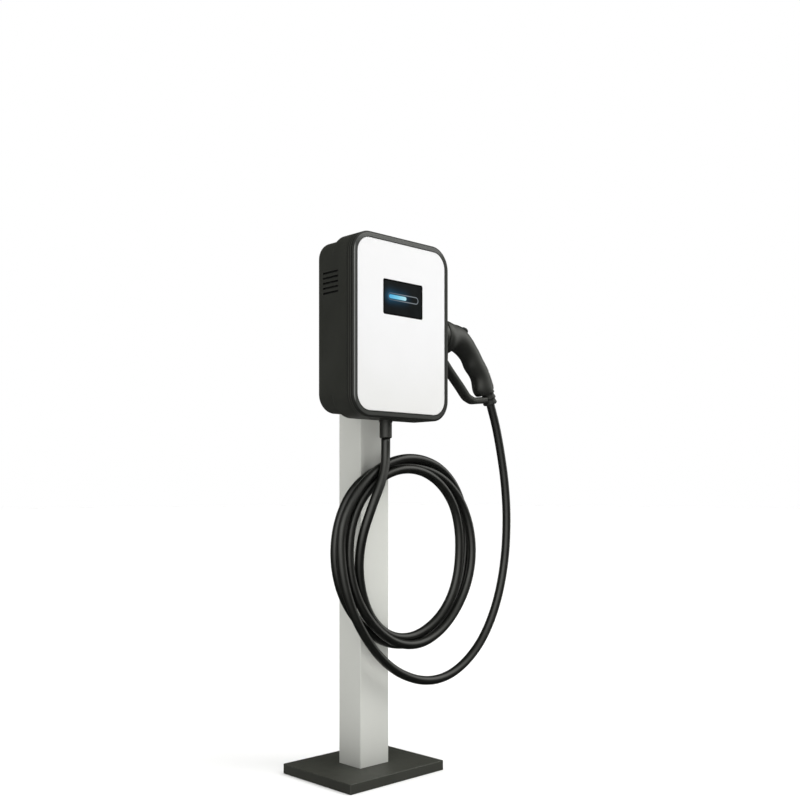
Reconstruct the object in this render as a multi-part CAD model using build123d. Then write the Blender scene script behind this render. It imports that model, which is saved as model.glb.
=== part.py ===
from build123d import *
import os
from math import cos, hypot, radians, sin, tan

# Electric vehicle charging post, built in millimetres.
# X runs to the right of the charger's face, the face looks towards -Y, Z is up.
# The origin is the centre of the post's footprint, on the ground.

# ---- driving dimensions ---------------------------------------------------
GAP = 0.3

COVER_W, COVER_D, COVER_H, COVER_WALL = 262.0, 215.0, 20.0, 2.5
FOOT_W, FOOT_D, FOOT_T = 250.0, 203.0, 10.0
ANCHOR_X, ANCHOR_Y, ANCHOR_R = 200.0, 150.0, 6.5
FOOT_CABLE_R = 25.0

POST_W, POST_D, POST_WALL, POST_TOP = 80.0, 68.0, 3.0, 1056.0
POST_FRONT = -POST_D / 2

BOX_W, BOX_BOTTOM, BOX_TOP = 270.0, 738.0, 1104.0
BOX_BACK, BOX_STEP, BOX_SEAM, BOX_FRONT = -11.0, -56.0, -99.8, -118.4
BOX_R, BOX_WALL = 46.0, 3.5
STEP_TOP, STEP_BOTTOM = 9.5, 11.0
BOX_H = BOX_TOP - BOX_BOTTOM
BOX_Z = (BOX_TOP + BOX_BOTTOM) / 2
REAR_H = BOX_H - STEP_TOP - STEP_BOTTOM
REAR_Z = BOX_Z + (STEP_BOTTOM - STEP_TOP) / 2
REAR_R = 38.0

CHANNEL_W, CHANNEL_FLOOR, CHANNEL_TOP = 86.0, -46.0, 1066.0
CHANNEL_WALL = 3.0

PANEL_W, PANEL_H, PANEL_R, PANEL_T = 246.0, 341.0, 33.0, 3.0
PANEL_FACE = -117.6
PANEL_X, PANEL_Z = 0.7, 921.5
SCREEN_W, SCREEN_H, SCREEN_R, SCREEN_T = 111.0, 70.5, 4.0, 2.4
SCREEN_X, SCREEN_Z = 2.0, 981.2

VENT_COUNT, VENT_PITCH, VENT_H = 5, 10.05, 2.8
VENT_Y, VENT_LEN, VENT_TOP_Z = -51.5, 46.0, 1025.9

GLAND_X, GLAND_Y, GLAND_LEN, GLAND_R = -5.0, -73.0, 37.0, 12.75
CABLE_R = 9.5

HOLSTER_Y, HOLSTER_Z = -66.0, 930.0
HOLSTER_RIM, HOLSTER_R, HOLSTER_BORE = 165.0, 32.0, 22.4
NOSE_R, NOSE_FRONT, SHELL_FRONT = 22.0, 131.0, 166.0
SHELL_WALL = 3.0
SLOT_W, LEVER_W = 14.0, 12.0
LATCH_X, LATCH_Z = 207.0, 951.0
PAD_X, PAD_Z, PAD_TILT = 240.2, 953.3, 22.0
PAD_LEN, PAD_W, PAD_T, PAD_ROUND = 14.0, 13.2, 5.6, 2.4
CUT_Z = 750.0

COIL_X, COIL_Z = 75.0, 460.0
COIL_IN, COIL_OUT, COIL_BACK, COIL_FACE = 165.5, 208.0, -37.6, -72.0

HOOK_X, HOOK_Z, HOOK_R = -8.0, 598.1, 4.0

# Hand-chosen points of the free cable, from the gland to the coil and from the coil to the plug.
LEAD_ROUTE = [
    (-5, -73, 701), (-5, -73, 671), (-12, -76, 641), (-27, -80.5, 609), (-44.5, -82, 577),
    (-58, -79, 543), (-67, -72, 505), (-68, -62.5, 464), (-60, -54, 423), (-46, -48.5, 380),
    (-25, -46.5, 339), (7, -46, 306), (47, -47, 286),
]
TAIL_ROUTE = [
    (-117, -64, 537), (-122, -66, 485), (-120, -69, 433), (-109, -72, 383), (-87, -74, 333),
    (-55, -74, 287), (-13, -73, 243), (43, -71.5, 207), (113, -70, 184), (184, -68.5, 185),
    (251, -67, 212), (311, -66, 262), (357, -66, 340), (383, -66, 432), (390, -66, 528),
    (383, -66, 610), (368, -66, 680), (350.9, -66, 742), (331.9, -66, 789),
]


# ---- helpers --------------------------------------------------------------
def save(shape, name):
    """Write one node."""
    export_step(shape, f"parts/{name}.step")


def face_plane(y, x=0.0, z=0.0):
    """A plane parallel to the charger's face: sketch x is X, sketch y is Z, it looks towards -Y."""
    return Plane(origin=(x, y, z), x_dir=(1, 0, 0), z_dir=(0, -1, 0))


def slab(sketch, back, front, x=0.0, z=0.0):
    """A sketch drawn on the charger's face, thickened from back to front along Y."""
    return extrude(face_plane(back, x, z) * sketch, back - front)


def block(x0, x1, y0, y1, z0, z1):
    """A box between two corners."""
    centre = ((x0 + x1) / 2, (y0 + y1) / 2, (z0 + z1) / 2)
    return Pos(*centre) * Box(abs(x1 - x0), abs(y1 - y0), abs(z1 - z0))


def rod(start, end, radius):
    """A cylinder from one point to another."""
    a = Vector(*start)
    b = Vector(*end)
    return extrude(Plane(origin=a, z_dir=b - a) * Circle(radius), (b - a).length)


def rod_y(x, z, back, front, radius):
    """A cylinder along Y."""
    return rod((x, back, z), (x, front, z), radius)


def countersunk(face, x, z, radius, head_radius, tip):
    """A screw along Y whose cone head is flush with a face that looks towards -Y."""
    depth = head_radius - radius
    wide = face_plane(face, x, z) * Circle(head_radius)
    narrow = face_plane(face + depth, x, z) * Circle(radius)
    return loft([wide, narrow]) + rod_y(x, z, tip, face + depth, radius)


def turned(start, direction, profile):
    """Rings of (length, radius) stacked along a direction."""
    axis = Vector(*direction).normalized()
    point = Vector(*start)
    rings = []
    for length, radius in profile:
        rings.append(extrude(Plane(origin=point, z_dir=axis) * Circle(radius), length))
        point = point + axis * length
    return fuse_all(rings)


def fuse_all(shapes):
    """One solid from touching shapes."""
    joined = shapes[0]
    for shape in shapes[1:]:
        joined = joined + shape
    return joined


def group(shapes):
    """Separate solids kept together in one node."""
    return Compound(children=[solid for shape in shapes for solid in shape.solids()])


# ---- foot and post --------------------------------------------------------
def anchor_points():
    return [(sx * ANCHOR_X / 2, sy * ANCHOR_Y / 2) for sx in (-1, 1) for sy in (-1, 1)]


def make_foot_plate():
    plate = extrude(RectangleRounded(FOOT_W, FOOT_D, 6), FOOT_T)
    for x, y in anchor_points():
        plate -= Pos(x, y, FOOT_T / 2) * Cylinder(ANCHOR_R, 2 * FOOT_T)
    return plate - Pos(0, 0, FOOT_T / 2) * Cylinder(FOOT_CABLE_R, 2 * FOOT_T)


def make_base_cover():
    outer = extrude(RectangleRounded(COVER_W, COVER_D, 2), COVER_H)
    outer = chamfer(outer.faces().sort_by(Axis.Z)[-1].edges(), 0.8)
    inside_w = COVER_W - 2 * COVER_WALL
    inside_d = COVER_D - 2 * COVER_WALL
    tray = outer - extrude(Rectangle(inside_w, inside_d), COVER_H - COVER_WALL)
    return tray - extrude(Rectangle(POST_W + 1.2, POST_D + 1.2), COVER_H)


def make_post():
    outside = RectangleRounded(POST_W, POST_D, 2.5)
    inside = RectangleRounded(POST_W - 2 * POST_WALL, POST_D - 2 * POST_WALL, 1)
    tube = Pos(0, 0, FOOT_T) * extrude(outside - inside, POST_TOP - FOOT_T)
    for x, z in adapter_bolt_points():
        tube -= rod_y(x, z, POST_FRONT + 5, POST_FRONT - 1, RIVNUT_R + 0.05)
    for z in HOOK_SCREW_Z:
        tube -= rod_y(HOOK_X, z, POST_FRONT + 5, POST_FRONT - 1, HOOK_SCREW_R + 0.05)
    return tube - rod_y(0, SUPPLY_Z, POST_FRONT + 5, POST_FRONT - 1, SUPPLY_R + 1)


def make_post_cap():
    inside_w = POST_W - 2 * POST_WALL - 0.4
    inside_d = POST_D - 2 * POST_WALL - 0.4
    lid = Pos(0, 0, POST_TOP) * extrude(RectangleRounded(POST_W, POST_D, 2.5), 4)
    lid = chamfer(lid.faces().sort_by(Axis.Z)[-1].edges(), 1)
    plug = Pos(0, 0, POST_TOP - 14) * extrude(RectangleRounded(inside_w, inside_d, 1), 14)
    core = Pos(0, 0, POST_TOP - 14) * extrude(Rectangle(inside_w - 6, inside_d - 6), 12)
    return lid + plug - core


def make_earth_stud():
    stud = rod((52, 55, FOOT_T), (52, 55, FOOT_T + 5.5), 3)
    return stud + rod((52, 55, FOOT_T), (52, 55, FOOT_T + 3), 5.5)


# ---- adapter between post and box -----------------------------------------
ADAPTER_W, ADAPTER_BOTTOM, ADAPTER_HIGH = 76.0, 770.0, 1050.0
RIVNUT_R, BOLT_R, BOLT_HEAD_R = 5.5, 4.0, 6.5
SUPPLY_Z, SUPPLY_R = 815.0, 14.0
HOUSING_SCREW_R, HOUSING_HEAD_R = 3.0, 5.0


def adapter_bolt_points():
    return [(x, z) for x in (-22, 22) for z in (790, 1030)]


def housing_screw_points():
    return [(x, z) for x in (-28, 28) for z in (850, 990)]


def make_adapter_plate():
    centre_z = (ADAPTER_BOTTOM + ADAPTER_HIGH) / 2
    height = ADAPTER_HIGH - ADAPTER_BOTTOM
    plate = slab(RectangleRounded(ADAPTER_W, height, 5), POST_FRONT, CHANNEL_FLOOR, 0, centre_z)
    for x, z in adapter_bolt_points():
        plate -= rod_y(x, z, POST_FRONT + 1, CHANNEL_FLOOR - 1, BOLT_R + 0.3)
        plate -= rod_y(x, z, CHANNEL_FLOOR + 6, CHANNEL_FLOOR - 1, BOLT_HEAD_R + 0.5)
    for x, z in housing_screw_points():
        plate -= rod_y(x, z, POST_FRONT + 1, CHANNEL_FLOOR - 1, HOUSING_SCREW_R + 0.05)
    plate -= slab(RectangleRounded(40, 50, 6), POST_FRONT + 1, CHANNEL_FLOOR - 1, 0, SUPPLY_Z + 5)
    return plate


def make_adapter_bolts():
    bolts = []
    for x, z in adapter_bolt_points():
        head = rod_y(x, z, CHANNEL_FLOOR + 6, CHANNEL_FLOOR + 1, BOLT_HEAD_R)
        head -= slab(RegularPolygon(3.4, 6), CHANNEL_FLOOR + 4, CHANNEL_FLOOR, x, z)
        bolts.append(head + rod_y(x, z, POST_FRONT + 12, CHANNEL_FLOOR + 6, BOLT_R))
    return group(bolts)


def make_rivet_nuts():
    nuts = []
    for x, z in adapter_bolt_points():
        nut = rod_y(x, z, POST_FRONT + 11, POST_FRONT, RIVNUT_R)
        nuts.append(nut - rod_y(x, z, POST_FRONT + 12, POST_FRONT - 1, BOLT_R + 0.05))
    return group(nuts)


def make_housing_screws():
    inner_floor = CHANNEL_FLOOR - CHANNEL_WALL
    screws = []
    for x, z in housing_screw_points():
        head = rod_y(x, z, inner_floor, inner_floor - 4, HOUSING_HEAD_R)
        screws.append(head + rod_y(x, z, POST_FRONT - 3, inner_floor, HOUSING_SCREW_R))
    return group(screws)


# ---- coil hook on the post ------------------------------------------------
HOOK_W, HOOK_BELOW, HOOK_ABOVE, HOOK_T = 20.0, 12.0, 28.0, 3.0
HOOK_SCREW_Z = (HOOK_Z + 10, HOOK_Z + 21)
HOOK_SCREW_R, HOOK_HEAD_R = 2.5, 4.6
HOOK_TIP = -66.0


def make_cable_hook():
    foot = RectangleRounded(HOOK_W, HOOK_ABOVE + HOOK_BELOW, 5)
    centre_z = HOOK_Z + (HOOK_ABOVE - HOOK_BELOW) / 2
    plate = slab(foot, POST_FRONT, POST_FRONT - HOOK_T, HOOK_X, centre_z)
    for z in HOOK_SCREW_Z:
        plate -= countersunk(POST_FRONT - HOOK_T, HOOK_X, z, HOOK_SCREW_R + 0.1, HOOK_HEAD_R + 0.1,
                             POST_FRONT + 1)
    peg = rod_y(HOOK_X, HOOK_Z, POST_FRONT - HOOK_T, HOOK_TIP, HOOK_R)
    peg = fillet(peg.faces().sort_by(Axis.Y)[0].edges(), 2)
    return plate + peg


def make_hook_screws():
    screws = []
    face = POST_FRONT - HOOK_T
    for z in HOOK_SCREW_Z:
        screws.append(countersunk(face, HOOK_X, z, HOOK_SCREW_R, HOOK_HEAD_R, POST_FRONT + 8))
    return group(screws)


# ---- charger box ----------------------------------------------------------
FRAME_SCREWS = [(-78, 1099.0), (0, 1099.0), (78, 1099.0), (-78, 743.6), (78, 743.6)]
SCREW_BOSS_R, SCREW_R, SCREW_HEAD_R = 4.2, 2.0, 3.6
RIM_BACK = -91.0
RIM_WALL = 13.0
SEAL_INSET = 10.8
HOLSTER_HOLE_R = 27.5
HOLSTER_FLANGE = 68.0
INNER_SCREWS = [(x, z) for x in (-36, 36) for z in (830, 1022)]
INNER_BACK = -57.0
INNER_T = 1.5


def holster_screw_points():
    offset = HOLSTER_FLANGE / 2 - 8
    return [(HOLSTER_Y + sy * offset, HOLSTER_Z + sz * offset) for sy in (-1, 1) for sz in (-1, 1)]


def housing_outer():
    front = slab(RectangleRounded(BOX_W, BOX_H, BOX_R), BOX_STEP, BOX_SEAM, 0, BOX_Z)
    front = fillet(front.faces().sort_by(Axis.Y)[-1].edges(), 3)
    rear = slab(RectangleRounded(BOX_W, REAR_H, REAR_R), BOX_BACK, BOX_STEP - 8, 0, REAR_Z)
    rear = fillet(rear.faces().sort_by(Axis.Y)[-1].edges(), 7)
    return front + rear


def housing_cavity():
    back = BOX_BACK - BOX_WALL
    front_w = BOX_W - 2 * BOX_WALL
    rear = slab(RectangleRounded(front_w, REAR_H - 2 * BOX_WALL, REAR_R - BOX_WALL),
                back, BOX_STEP - BOX_WALL, 0, REAR_Z)
    front = slab(RectangleRounded(front_w, BOX_H - 2 * BOX_WALL, BOX_R - BOX_WALL),
                 BOX_STEP - BOX_WALL, RIM_BACK, 0, BOX_Z)
    mouth = slab(RectangleRounded(BOX_W - 2 * RIM_WALL, BOX_H - 2 * RIM_WALL, BOX_R - RIM_WALL),
                 RIM_BACK, BOX_SEAM, 0, BOX_Z)
    channel_w = CHANNEL_W + 2 * CHANNEL_WALL
    channel = block(-channel_w / 2, channel_w / 2, 0, CHANNEL_FLOOR - CHANNEL_WALL,
                    BOX_BOTTOM - 1, CHANNEL_TOP + CHANNEL_WALL)
    return rear + front + mouth - channel


def make_rear_housing():
    shell = housing_outer() - housing_cavity()
    shell -= block(-CHANNEL_W / 2, CHANNEL_W / 2, 0, CHANNEL_FLOOR, BOX_BOTTOM - 1, CHANNEL_TOP)
    for x, z in FRAME_SCREWS:
        shell += rod_y(x, z, BOX_STEP - 3, BOX_SEAM, SCREW_BOSS_R) & housing_outer()
    for x, z in FRAME_SCREWS:
        shell -= rod_y(x, z, BOX_STEP + 1, BOX_SEAM - 1, SCREW_R + 0.25)
        shell -= rod_y(x, z, BOX_STEP + 1, BOX_STEP - 5, SCREW_HEAD_R + 0.3)
    for x, z in INNER_SCREWS:
        shell += rod_y(x, z, CHANNEL_FLOOR - 1, INNER_BACK, 6)
    for x, z in INNER_SCREWS:
        shell -= rod_y(x, z, CHANNEL_FLOOR - 2, INNER_BACK - 1, SCREW_R + 0.05)
    for x, z in housing_screw_points():
        shell -= rod_y(x, z, CHANNEL_FLOOR + 1, CHANNEL_FLOOR - 4, HOUSING_SCREW_R + 0.2)
    shell -= rod_y(0, SUPPLY_Z, CHANNEL_FLOOR + 1, CHANNEL_FLOOR - 4, SUPPLY_NECK_R + 0.2)
    shell -= rod((GLAND_X, GLAND_Y, BOX_BOTTOM - 1), (GLAND_X, GLAND_Y, BOX_BOTTOM + 5), GLAND_NECK_R + 0.2)
    for row in range(VENT_COUNT):
        z = VENT_TOP_Z - row * VENT_PITCH
        slit = Plane(origin=(-BOX_W / 2 - 1, VENT_Y, z), x_dir=(0, 1, 0), z_dir=(1, 0, 0))
        shell -= extrude(slit * SlotOverall(VENT_LEN, VENT_H), BOX_WALL + 2)
    shell -= rod((BOX_W / 2 - 15, HOLSTER_Y, HOLSTER_Z), (BOX_W / 2 + 1, HOLSTER_Y, HOLSTER_Z),
                 HOLSTER_HOLE_R)
    for y, z in holster_screw_points():
        shell -= rod((BOX_W / 2 - 15, y, z), (BOX_W / 2 + 1, y, z), SCREW_R + 0.05)
    return shell - seal_ring(0.0, 1.8)


def seal_ring(clearance, depth):
    """The ring that runs round the housing's front rim."""
    outer = RectangleRounded(BOX_W - 2 * SEAL_INSET + 2, BOX_H - 2 * SEAL_INSET + 2, BOX_R - SEAL_INSET + 1)
    inner = RectangleRounded(BOX_W - 2 * SEAL_INSET - 2 + 2 * clearance,
                             BOX_H - 2 * SEAL_INSET - 2 + 2 * clearance, BOX_R - SEAL_INSET - 1)
    return slab(outer - inner, BOX_SEAM + depth, BOX_SEAM, 0, BOX_Z)


EDGE_X, EDGE_Y = 4.5, 2.2
GROOVE_W, GROOVE_DEPTH = 1.6, 1.5
REBATE_W, REBATE_H, REBATE_R = PANEL_W + 0.6, PANEL_H + 0.6, PANEL_R + 0.3


def make_front_frame():
    ring = slab(RectangleRounded(BOX_W, BOX_H, BOX_R), BOX_SEAM, BOX_FRONT, 0, BOX_Z)
    front_edges = ring.faces().sort_by(Axis.Y)[0].edges()
    ring = chamfer(front_edges, EDGE_Y, EDGE_X)
    groove_y = BOX_FRONT + EDGE_Y + 1.0
    full = slab(RectangleRounded(BOX_W + 4, BOX_H + 4, BOX_R + 2), groove_y + GROOVE_W,
                groove_y, 0, BOX_Z)
    core = slab(RectangleRounded(BOX_W - 2 * GROOVE_DEPTH, BOX_H - 2 * GROOVE_DEPTH,
                                 BOX_R - GROOVE_DEPTH), groove_y + GROOVE_W, groove_y, 0, BOX_Z)
    ring -= full - core
    ring -= slab(RectangleRounded(REBATE_W, REBATE_H, REBATE_R), PANEL_FACE + PANEL_T,
                 BOX_FRONT - 1, PANEL_X, PANEL_Z)
    ring -= slab(RectangleRounded(PANEL_W - 14, PANEL_H - 14, PANEL_R - 7), BOX_SEAM + 1,
                 BOX_FRONT - 1, PANEL_X, PANEL_Z)
    for x, z in FRAME_SCREWS:
        ring -= rod_y(x, z, BOX_SEAM + 1, BOX_SEAM - 10, SCREW_R + 0.05)
    return ring


def make_front_panel():
    panel = slab(RectangleRounded(PANEL_W, PANEL_H, PANEL_R), PANEL_FACE + PANEL_T, PANEL_FACE,
                 PANEL_X, PANEL_Z)
    panel = fillet(panel.faces().sort_by(Axis.Y)[0].edges(), 0.8)
    window = RectangleRounded(SCREEN_W + 0.4, SCREEN_H + 0.4, SCREEN_R + 0.2)
    return panel - slab(window, PANEL_FACE + PANEL_T + 1, PANEL_FACE - 1, SCREEN_X, SCREEN_Z)


def make_screen_glass():
    glass = slab(RectangleRounded(SCREEN_W, SCREEN_H, SCREEN_R), PANEL_FACE + SCREEN_T + 0.2,
                 PANEL_FACE + 0.2, SCREEN_X, SCREEN_Z)
    return fillet(glass.faces().sort_by(Axis.Y)[0].edges(), 0.4)


def make_screen_module():
    back = PANEL_FACE + 9
    module = slab(RectangleRounded(SCREEN_W - 6, SCREEN_H - 6, 2), back,
                  PANEL_FACE + SCREEN_T + 0.4, SCREEN_X, SCREEN_Z)
    return module


def make_screen_bracket():
    back = PANEL_FACE + 10.5
    inner = RectangleRounded(SCREEN_W - 5.6, SCREEN_H - 5.6, 2)
    ring = slab(RectangleRounded(SCREEN_W + 14, SCREEN_H + 14, 4) - inner, back,
                PANEL_FACE + PANEL_T, SCREEN_X, SCREEN_Z)
    web = slab(Rectangle(SCREEN_W + 4, 12), back, back - 1.4, SCREEN_X, SCREEN_Z)
    return ring + web


def make_reader_antenna():
    loop = RectangleRounded(58, 58, 6) - RectangleRounded(40, 40, 3)
    return slab(loop, PANEL_FACE + PANEL_T + 1.2, PANEL_FACE + PANEL_T, PANEL_X, 880)


def make_frame_screws():
    screws = []
    for x, z in FRAME_SCREWS:
        head = rod_y(x, z, BOX_STEP - 2, BOX_STEP - 5, SCREW_HEAD_R)
        head -= slab(RegularPolygon(1.7, 6), BOX_STEP, BOX_STEP - 4, x, z)
        screws.append(head + rod_y(x, z, BOX_STEP - 5, BOX_SEAM - 9, SCREW_R))
    return group(screws)


def make_vent_filter():
    inner_wall = -BOX_W / 2 + BOX_WALL
    middle_z = VENT_TOP_Z - VENT_PITCH * (VENT_COUNT - 1) / 2
    return block(inner_wall, inner_wall + 2, VENT_Y - 26, VENT_Y + 26, middle_z - 28, middle_z + 28)


# ---- inside the box -------------------------------------------------------
RAIL_Z, RAIL_FACE = 860.0, INNER_BACK - INNER_T - 7.5
MODULE_DEPTH = 40.0
BOARD_BACK = INNER_BACK - INNER_T - 10
BOARD_HOLES = [(x, z) for x in (-74, 74) for z in (944, 1012)]


def make_inner_plate():
    plate = slab(RectangleRounded(190, 250, 8), INNER_BACK, INNER_BACK - INNER_T, 0, 925)
    for x, z in INNER_SCREWS:
        plate -= rod_y(x, z, INNER_BACK + 1, INNER_BACK - INNER_T - 1, SCREW_R + 0.2)
    return plate


def make_inner_screws():
    face = INNER_BACK - INNER_T
    screws = []
    for x, z in INNER_SCREWS:
        head = rod_y(x, z, face, face - 2.4, SCREW_HEAD_R)
        screws.append(head + rod_y(x, z, INNER_BACK + 5, face, SCREW_R))
    return group(screws)


def make_din_rail():
    back = INNER_BACK - INNER_T
    web = slab(Rectangle(180, 27), back, back - 1, 0, RAIL_Z)
    lips = []
    for side in (-1, 1):
        z = RAIL_Z + side * 13
        lips.append(slab(Rectangle(180, 1), back, RAIL_FACE, 0, z))
        lips.append(slab(Rectangle(180, 5), RAIL_FACE + 1, RAIL_FACE, 0, z + side * 2))
    return fuse_all([web] + lips)


def rail_module(x, width, height, depth, nose):
    """A DIN-rail device: a body with a raised middle part."""
    body = slab(Rectangle(width, height), RAIL_FACE, RAIL_FACE - depth, x, RAIL_Z)
    top = slab(Rectangle(width, height * 0.52), RAIL_FACE - depth, RAIL_FACE - depth - nose, x, RAIL_Z)
    device = body + top
    return chamfer(device.edges().filter_by(Axis.X), 0.8)


def make_terminal_block():
    poles = []
    for index in range(5):
        x = -84 + 7 * index
        pole = slab(Rectangle(6.6, 46), RAIL_FACE, RAIL_FACE - 30, x, RAIL_Z)
        for side in (-1, 1):
            pole -= rod_y(x, RAIL_Z + side * 15, RAIL_FACE - 20, RAIL_FACE - 31, 2.2)
        poles.append(pole)
    return group(poles)


def make_control_board():
    board = slab(RectangleRounded(160, 80, 3), BOARD_BACK, BOARD_BACK - 1.6, 0, 978)
    for x, z in BOARD_HOLES:
        board -= rod_y(x, z, BOARD_BACK + 1, BOARD_BACK - 3, 1.7)
    return board


def make_board_standoffs():
    return group([rod_y(x, z, INNER_BACK - INNER_T, BOARD_BACK, 3) for x, z in BOARD_HOLES])


def make_board_parts():
    face = BOARD_BACK - 1.6
    sizes = [(-52, 990, 30, 24, 16), (-12, 996, 18, 18, 4), (22, 960, 14, 14, 3),
             (48, 992, 36, 20, 15), (-50, 956, 22, 14, 12), (54, 958, 26, 12, 11)]
    parts = [slab(Rectangle(w, h), face, face - t, x, z) for x, z, w, h, t in sizes]
    parts += [rod_y(-18 + 13 * index, 966, face, face - 18, 5.5) for index in range(3)]
    return group(parts)


def make_current_sensor():
    ring = rod((GLAND_X, GLAND_Y, 772), (GLAND_X, GLAND_Y, 790), 21)
    return ring - rod((GLAND_X, GLAND_Y, 771), (GLAND_X, GLAND_Y, 791), 11)


# ---- glands ---------------------------------------------------------------
GLAND_NECK_R, NUT_R = 10.0, 15.0
SUPPLY_NECK_R = 12.0


def make_outlet_gland():
    bottom = BOX_BOTTOM - GLAND_LEN
    body = rod((GLAND_X, GLAND_Y, bottom), (GLAND_X, GLAND_Y, BOX_BOTTOM), GLAND_R)
    body = chamfer(body.faces().sort_by(Axis.Z)[0].edges(), 1.6)
    collar = rod((GLAND_X, GLAND_Y, BOX_BOTTOM - 5), (GLAND_X, GLAND_Y, BOX_BOTTOM), GLAND_R + 1.2)
    collar = chamfer(collar.faces().sort_by(Axis.Z)[0].edges(), 0.8)
    neck = rod((GLAND_X, GLAND_Y, BOX_BOTTOM), (GLAND_X, GLAND_Y, BOX_BOTTOM + 16), GLAND_NECK_R)
    bore = rod((GLAND_X, GLAND_Y, bottom - 1), (GLAND_X, GLAND_Y, BOX_BOTTOM + 17), CABLE_R + 0.15)
    pocket = rod((GLAND_X, GLAND_Y, bottom + 8), (GLAND_X, GLAND_Y, bottom + 20), CABLE_R + 1.6)
    return body + collar + neck - bore - pocket


def make_outlet_seal():
    bottom = BOX_BOTTOM - GLAND_LEN + 8.2
    ring = rod((GLAND_X, GLAND_Y, bottom), (GLAND_X, GLAND_Y, bottom + 11.6), CABLE_R + 1.4)
    return ring - rod((GLAND_X, GLAND_Y, bottom - 1), (GLAND_X, GLAND_Y, bottom + 13), CABLE_R + 0.1)


def make_outlet_locknut():
    base = BOX_BOTTOM + BOX_WALL
    nut = Pos(GLAND_X, GLAND_Y, base) * extrude(RegularPolygon(NUT_R, 6), 5)
    return nut - rod((GLAND_X, GLAND_Y, base - 1), (GLAND_X, GLAND_Y, base + 6), GLAND_NECK_R + 0.1)


def make_cable_root():
    return rod((GLAND_X, GLAND_Y, BOX_BOTTOM - GLAND_LEN), (GLAND_X, GLAND_Y, BOX_BOTTOM + 66), CABLE_R)


def make_supply_gland():
    inner = CHANNEL_FLOOR - CHANNEL_WALL
    body = rod_y(0, SUPPLY_Z, CHANNEL_FLOOR + 10, CHANNEL_FLOOR, SUPPLY_R)
    neck = rod_y(0, SUPPLY_Z, CHANNEL_FLOOR, inner - 6.6, SUPPLY_NECK_R)
    return body + neck - rod_y(0, SUPPLY_Z, CHANNEL_FLOOR + 11, inner - 8, 8)


def make_supply_locknut():
    inner = CHANNEL_FLOOR - CHANNEL_WALL
    nut = slab(RegularPolygon(18, 6), inner, inner - 5, 0, SUPPLY_Z)
    return nut - rod_y(0, SUPPLY_Z, inner + 1, inner - 6, SUPPLY_NECK_R + 0.1)


# ---- holster --------------------------------------------------------------
def side_plane(x):
    """A plane on the box's right side: sketch x is Y, sketch y is Z, it looks towards +X."""
    return Plane(origin=(x, HOLSTER_Y, HOLSTER_Z), x_dir=(0, 1, 0), z_dir=(1, 0, 0))


def barrel(x0, x1, radius):
    """A cylinder on the holster's axis."""
    return extrude(side_plane(x0) * Circle(radius), x1 - x0)


def make_holster():
    face = BOX_W / 2
    flange = extrude(side_plane(face) * RectangleRounded(HOLSTER_FLANGE, HOLSTER_FLANGE, 12), 4)
    flange = chamfer(flange.faces().sort_by(Axis.X)[-1].edges(), 1)
    tube = barrel(face, HOLSTER_RIM, HOLSTER_R)
    tube = fillet(tube.faces().sort_by(Axis.X)[-1].edges(), 2)
    cup = barrel(face - 14, face, HOLSTER_HOLE_R - 0.3)
    body = flange + tube + cup
    body -= barrel(face - 10, HOLSTER_RIM + 1, HOLSTER_BORE)
    body -= block(face + 8, HOLSTER_RIM + 1, HOLSTER_Y - SLOT_W / 2, HOLSTER_Y + SLOT_W / 2,
                  HOLSTER_Z + 10, HOLSTER_Z + HOLSTER_R + 3)
    for y, z in holster_screw_points():
        body -= rod((face - 1, y, z), (face + 6, y, z), SCREW_R + 0.2)
    return body


def make_holster_screws():
    face = BOX_W / 2 + 4
    screws = []
    for y, z in holster_screw_points():
        head = rod((face, y, z), (face + 2.4, y, z), SCREW_HEAD_R)
        screws.append(head + rod((face - 11, y, z), (face, y, z), SCREW_R))
    return group(screws)


# ---- connector ------------------------------------------------------------
# Stations along the connector: centre X, centre Z, lean of the axis below level,
# full height across the axis and full width along Y.
SHELL_STATIONS = [
    (166, 930.0, 0, 69, 64), (188, 929.3, 2, 67.5, 62), (204, 930.3, 8, 58.5, 54),
    (220, 927.3, 18, 55.5, 51), (239, 916.4, 33, 52, 47), (262.8, 893.1, 48, 48.5, 43),
    (284.6, 866.5, 51, 48.3, 42), (294.3, 853.1, 55, 48.7, 42), (300.4, 837.7, 59, 52.7, 43),
    (307.8, 822.7, 64, 52.5, 43), (314, 810.3, 67, 41, 37),
]
COLLAR_DIR = (0.375, 0.0, -0.927)
COLLAR_SIDE = (0.927, 0.0, 0.375)
COLLAR_START = (317.8, HOLSTER_Y, 824.0)
# The handle's end face leans a little more than the collar does.
HANDLE_END_DIR = (0.545, 0.0, -0.839)
# Outside of the ribbed collar: radius, distance along its axis.
COLLAR_OUTLINE = [
    (13.2, -7), (13.2, 0), (14.2, 0), (16.2, 6.5), (15.8, 8.5), (13.8, 9), (13.8, 12),
    (16.4, 18.5), (16.0, 20.5), (14.0, 21), (14.0, 24), (16.3, 31), (14.8, 34),
]
COLLAR_BORE_R = CABLE_R + 0.1
COLLAR_NECK = 7.3
GUARD_ROUTE = [(173, 898), (172, 876), (190, 858), (228, 823), (248, 803), (268, 795.5), (309, 800)]
GUARD_RADII = [9, 14, 60, 30, 30]
SHELL_SCREWS = [(184, 902), (256, 899), (300, 842)]


def shell_section(station, inset):
    x, z, lean, height, width = station
    axis = (cos(radians(lean)), 0, -sin(radians(lean)))
    plane = Plane(origin=(x, HOLSTER_Y, z), x_dir=(0, 1, 0), z_dir=axis)
    return plane * Ellipse(width / 2 - inset, height / 2 - inset)


def shell_loft(inset):
    return loft([shell_section(station, inset) for station in SHELL_STATIONS])


def handle_end_cut():
    return extrude(Rectangle(160, 160), 60)


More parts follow.
